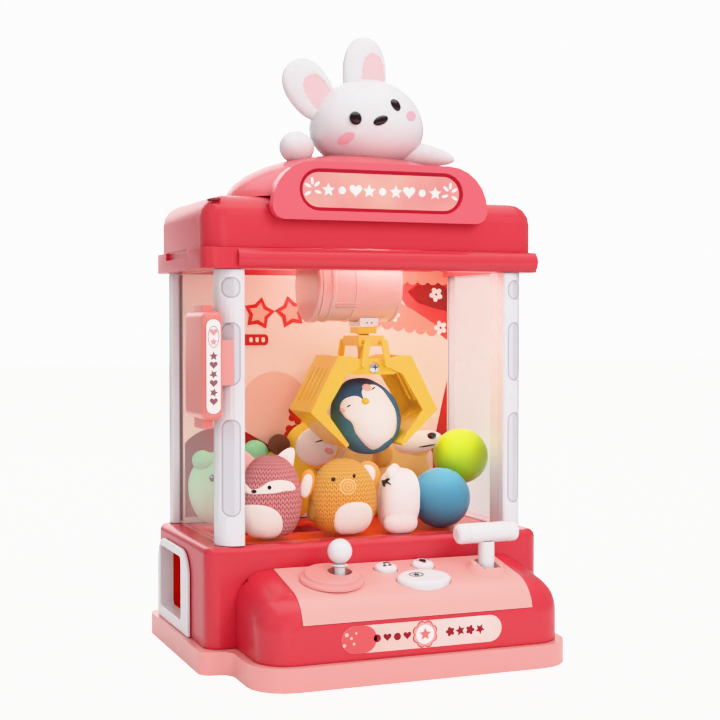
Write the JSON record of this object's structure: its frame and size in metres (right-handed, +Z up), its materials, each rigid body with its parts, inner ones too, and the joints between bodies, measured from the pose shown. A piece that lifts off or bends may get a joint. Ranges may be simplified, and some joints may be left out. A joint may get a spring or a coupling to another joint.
{
  "type": "claw crane machine",
  "caption": "Table-top toy claw crane: console base with joystick, lever and buttons, clear cabinet with plush and ball prizes, gantry claw, and a roof with a rabbit topper.",
  "frame": {"origin": "middle of the base plate's flat underside, on the surface that the machine stands on", "axes": "+Z up, +X to the right of a player who stands in front, +Y from the console towards the rear wall"},
  "size_m": [0.2364, 0.1936, 0.4],
  "materials": {
    "coral_plastic": "glossy moulded plastic",
    "light_coral_plastic": "glossy moulded plastic",
    "blush_plastic": "satin moulded plastic",
    "white_plastic": "glossy moulded plastic",
    "clear_plastic": "clear polished sheet",
    "yellow_plastic": "satin moulded plastic",
    "chrome": "polished",
    "motor_metal": "plain steel can",
    "circuit_board": "solder resist",
    "black_plastic": "moulded",
    "printed_card": "printed film on card",
    "cord": "braided",
    "rabbit_vinyl": "soft satin vinyl",
    "blue_ball": "satin",
    "green_ball": "satin",
    "blue_plush": "short pile",
    "pink_plush": "knitted",
    "orange_plush": "knitted",
    "white_plush": "short pile",
    "green_plush": "short pile",
    "yellow_plush": "short pile",
    "beige_plush": "short pile"
  },
  "bodies": {
    "root": {"base_plate": "blush_plastic", "battery_door": "blush_plastic", "base_housing": "coral_plastic", "prize_floor": "coral_plastic", "prize_chute": "light_coral_plastic", "outlet_frame": "white_plastic", "speaker": "black_plastic", "circuit_board": "circuit_board", "console_housing": "coral_plastic", "control_panel": "blush_plastic", "joystick_bezel": "blush_plastic", "pillar_front_left": "white_plastic", "pillar_front_right": "white_plastic", "pillar_rear_left": "white_plastic", "pillar_rear_right": "white_plastic", "window_left": "clear_plastic", "window_right": "clear_plastic", "window_front": "clear_plastic", "back_wall": "coral_plastic", "backdrop_card": "printed_card", "coin_magazine": "light_coral_plastic", "coin_clip": "light_coral_plastic", "eave_frame": "coral_plastic", "prize_fox": "pink_plush", "prize_orange_bear": "orange_plush", "prize_white_cat": "white_plush", "prize_dinosaur": "green_plush", "prize_yellow_duck": "yellow_plush", "prize_beige_dog": "beige_plush", "prize_blue_ball": "blue_ball", "prize_green_ball": "green_ball"},
    "roof": {"roof_cap": "coral_plastic", "roof_hood": "light_coral_plastic", "marquee_sign": "light_coral_plastic", "rabbit_body": "rabbit_vinyl", "rabbit_ear_left": "rabbit_vinyl", "rabbit_ear_right": "rabbit_vinyl"},
    "bridge": {"bridge_beam": "white_plastic"},
    "carriage": {"carriage_tube": "blush_plastic", "carriage_cap": "blush_plastic", "cord_guide": "white_plastic", "winch_motor": "motor_metal"},
    "winch": {"winch_drum": "white_plastic"},
    "claw": {"hoist_cord": "cord", "claw_head": "yellow_plastic", "claw_screw": "chrome", "prize_penguin": "blue_plush"},
    "collar": {"claw_collar": "yellow_plastic"},
    "jaw_left": {"claw_jaw_left": "yellow_plastic"},
    "jaw_right": {"claw_jaw_right": "yellow_plastic"},
    "link_left": {"claw_link_left": "yellow_plastic"},
    "link_right": {"claw_link_right": "yellow_plastic"},
    "gimbal": {"joystick_gimbal": "black_plastic"},
    "stick": {"joystick_stick": "white_plastic", "joystick_knob": "white_plastic"},
    "lever": {"lever_stem": "white_plastic", "lever_handle": "white_plastic"},
    "grab": {"grab_button": "white_plastic"},
    "music": {"music_button": "white_plastic"},
    "light": {"light_button": "white_plastic"}
  },
  "joints": [
    {"name": "bridge_slide", "type": "slide", "parent": "root", "child": "bridge", "axis": [0, -1, 0], "range_m": [-0.006, 0.02]},
    {"name": "carriage_slide", "type": "slide", "parent": "bridge", "child": "carriage", "axis": [1, 0, 0], "range_m": [-0.055, 0.012]},
    {"name": "hoist", "type": "slide", "parent": "carriage", "child": "claw", "axis": [0, 0, 1], "range_m": [-0.03, 0]},
    {"name": "winch_spin", "type": "hinge", "parent": "carriage", "child": "winch", "pos_m": [0.0132, 0.0337, 0.236], "axis": [1, 0, 0], "range_deg": [-1, 345]},
    {"name": "jaw_open", "type": "hinge", "parent": "claw", "child": "jaw_left", "pos_m": [-0.0038, 0.0281, 0.182], "axis": [0, 1, 0], "range_deg": [0, 25]},
    {"name": "jaw_open_right", "type": "hinge", "parent": "claw", "child": "jaw_right", "pos_m": [0.0302, 0.0281, 0.182], "axis": [0, -1, 0], "range_deg": [0, 25]},
    {"name": "collar_slide", "type": "slide", "parent": "claw", "child": "collar", "axis": [0, 0, -1], "range_m": [0, 0.005]},
    {"name": "link_left_swing", "type": "hinge", "parent": "collar", "child": "link_left", "pos_m": [0.0072, 0.0281, 0.199], "axis": [0, -1, 0], "range_deg": [0, 2]},
    {"name": "link_right_swing", "type": "hinge", "parent": "collar", "child": "link_right", "pos_m": [0.0192, 0.0281, 0.199], "axis": [0, 1, 0], "range_deg": [0, 2]},
    {"name": "joystick_fore_aft", "type": "hinge", "parent": "root", "child": "gimbal", "pos_m": [-0.037, -0.0602, 0.053], "axis": [1, 0, 0], "range_deg": [-9, 9], "stiffness_Nm_per_rad": 0.05},
    {"name": "joystick_left_right", "type": "hinge", "parent": "gimbal", "child": "stick", "pos_m": [-0.037, -0.0602, 0.053], "axis": [0, 1, 0], "range_deg": [-9, 9], "stiffness_Nm_per_rad": 0.05},
    {"name": "lever_rock", "type": "hinge", "parent": "root", "child": "lever", "pos_m": [0.0616, -0.06, 0.051], "axis": [1, 0, 0], "range_deg": [-18, 18]},
    {"name": "grab_press", "type": "slide", "parent": "root", "child": "grab", "axis": [0, 0.1908, -0.9816], "range_m": [0, 0.0015], "stiffness_N_per_m": 400},
    {"name": "music_press", "type": "slide", "parent": "root", "child": "music", "axis": [0, 0.1908, -0.9816], "range_m": [0, 0.0015], "stiffness_N_per_m": 400},
    {"name": "light_press", "type": "slide", "parent": "root", "child": "light", "axis": [0, 0.1908, -0.9816], "range_m": [0, 0.0015], "stiffness_N_per_m": 400},
    {"name": "roof_lift", "type": "slide", "parent": "root", "child": "roof", "axis": [0, 0, 1], "range_m": [0, 0.06]}
  ],
  "couplings": [
    {"joint": "winch_spin", "follows": "hoist", "rad_per_m": -200},
    {"joint": "jaw_open_right", "follows": "jaw_open", "ratio": 1},
    {"joint": "collar_slide", "follows": "jaw_open", "m_per_rad": 0.008778},
    {"joint": "link_left_swing", "follows": "jaw_open", "ratio": 0.04},
    {"joint": "link_right_swing", "follows": "jaw_open", "ratio": 0.04}
  ]
}
